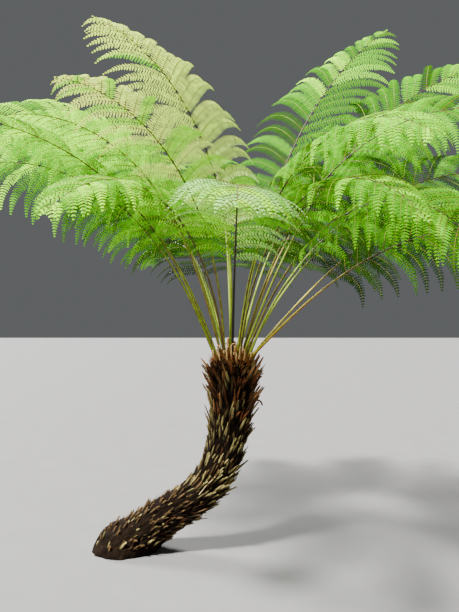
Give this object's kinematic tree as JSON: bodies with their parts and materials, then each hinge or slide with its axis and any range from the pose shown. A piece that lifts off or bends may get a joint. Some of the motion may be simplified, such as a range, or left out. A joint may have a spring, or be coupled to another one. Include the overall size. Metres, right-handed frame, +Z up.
{
  "type": "tree fern",
  "caption": "Tree fern: a leaning, upcurved trunk clad in old stalk stubs, with a full shuttlecock crown of arching feathery fronds on long bare stalks.",
  "frame": {"origin": "middle of the flat cut under the trunk, at ground level", "axes": "+Z up; +X to the right and +Y away in the picture's view, so the foot of the trunk lies to the left of the crown"},
  "size_m": [4.4382, 4.352, 4.1246],
  "materials": {
    "bark": "rough",
    "stalk": "satin",
    "leaf": "satin",
    "scales": "matte"
  },
  "bodies": {
    "root": {"trunk": "bark", "crozier_1": "scales", "crozier_2": "scales", "crozier_3": "scales", "frond_01_stalk": "stalk", "frond_01_blade": "leaf", "frond_02_stalk": "stalk", "frond_02_blade": "leaf", "frond_03_stalk": "stalk", "frond_03_blade": "leaf", "frond_04_stalk": "stalk", "frond_04_blade": "leaf", "frond_05_stalk": "stalk", "frond_05_blade": "leaf", "frond_06_stalk": "stalk", "frond_06_blade": "leaf", "frond_07_stalk": "stalk", "frond_07_blade": "leaf", "frond_08_stalk": "stalk", "frond_08_blade": "leaf", "frond_09_stalk": "stalk", "frond_09_blade": "leaf", "frond_10_stalk": "stalk", "frond_10_blade": "leaf", "frond_11_stalk": "stalk", "frond_11_blade": "leaf", "frond_12_stalk": "stalk", "frond_12_blade": "leaf", "frond_13_stalk": "stalk", "frond_13_blade": "leaf", "frond_14_stalk": "stalk", "frond_14_blade": "leaf", "frond_15_stalk": "stalk", "frond_15_blade": "leaf", "frond_16_stalk": "stalk", "frond_16_blade": "leaf", "frond_17_stalk": "stalk", "frond_17_blade": "leaf", "frond_18_stalk": "stalk", "frond_18_blade": "leaf", "frond_19_stalk": "stalk", "frond_19_blade": "leaf", "frond_20_stalk": "stalk", "frond_20_blade": "leaf", "frond_21_stalk": "stalk", "frond_21_blade": "leaf", "frond_22_stalk": "stalk", "frond_22_blade": "leaf", "frond_23_stalk": "stalk", "frond_23_blade": "leaf", "frond_24_stalk": "stalk", "frond_24_blade": "leaf", "frond_25_stalk": "stalk", "frond_25_blade": "leaf", "frond_26_stalk": "stalk", "frond_26_blade": "leaf", "frond_27_stalk": "stalk", "frond_27_blade": "leaf"}
  },
  "joints": []
}
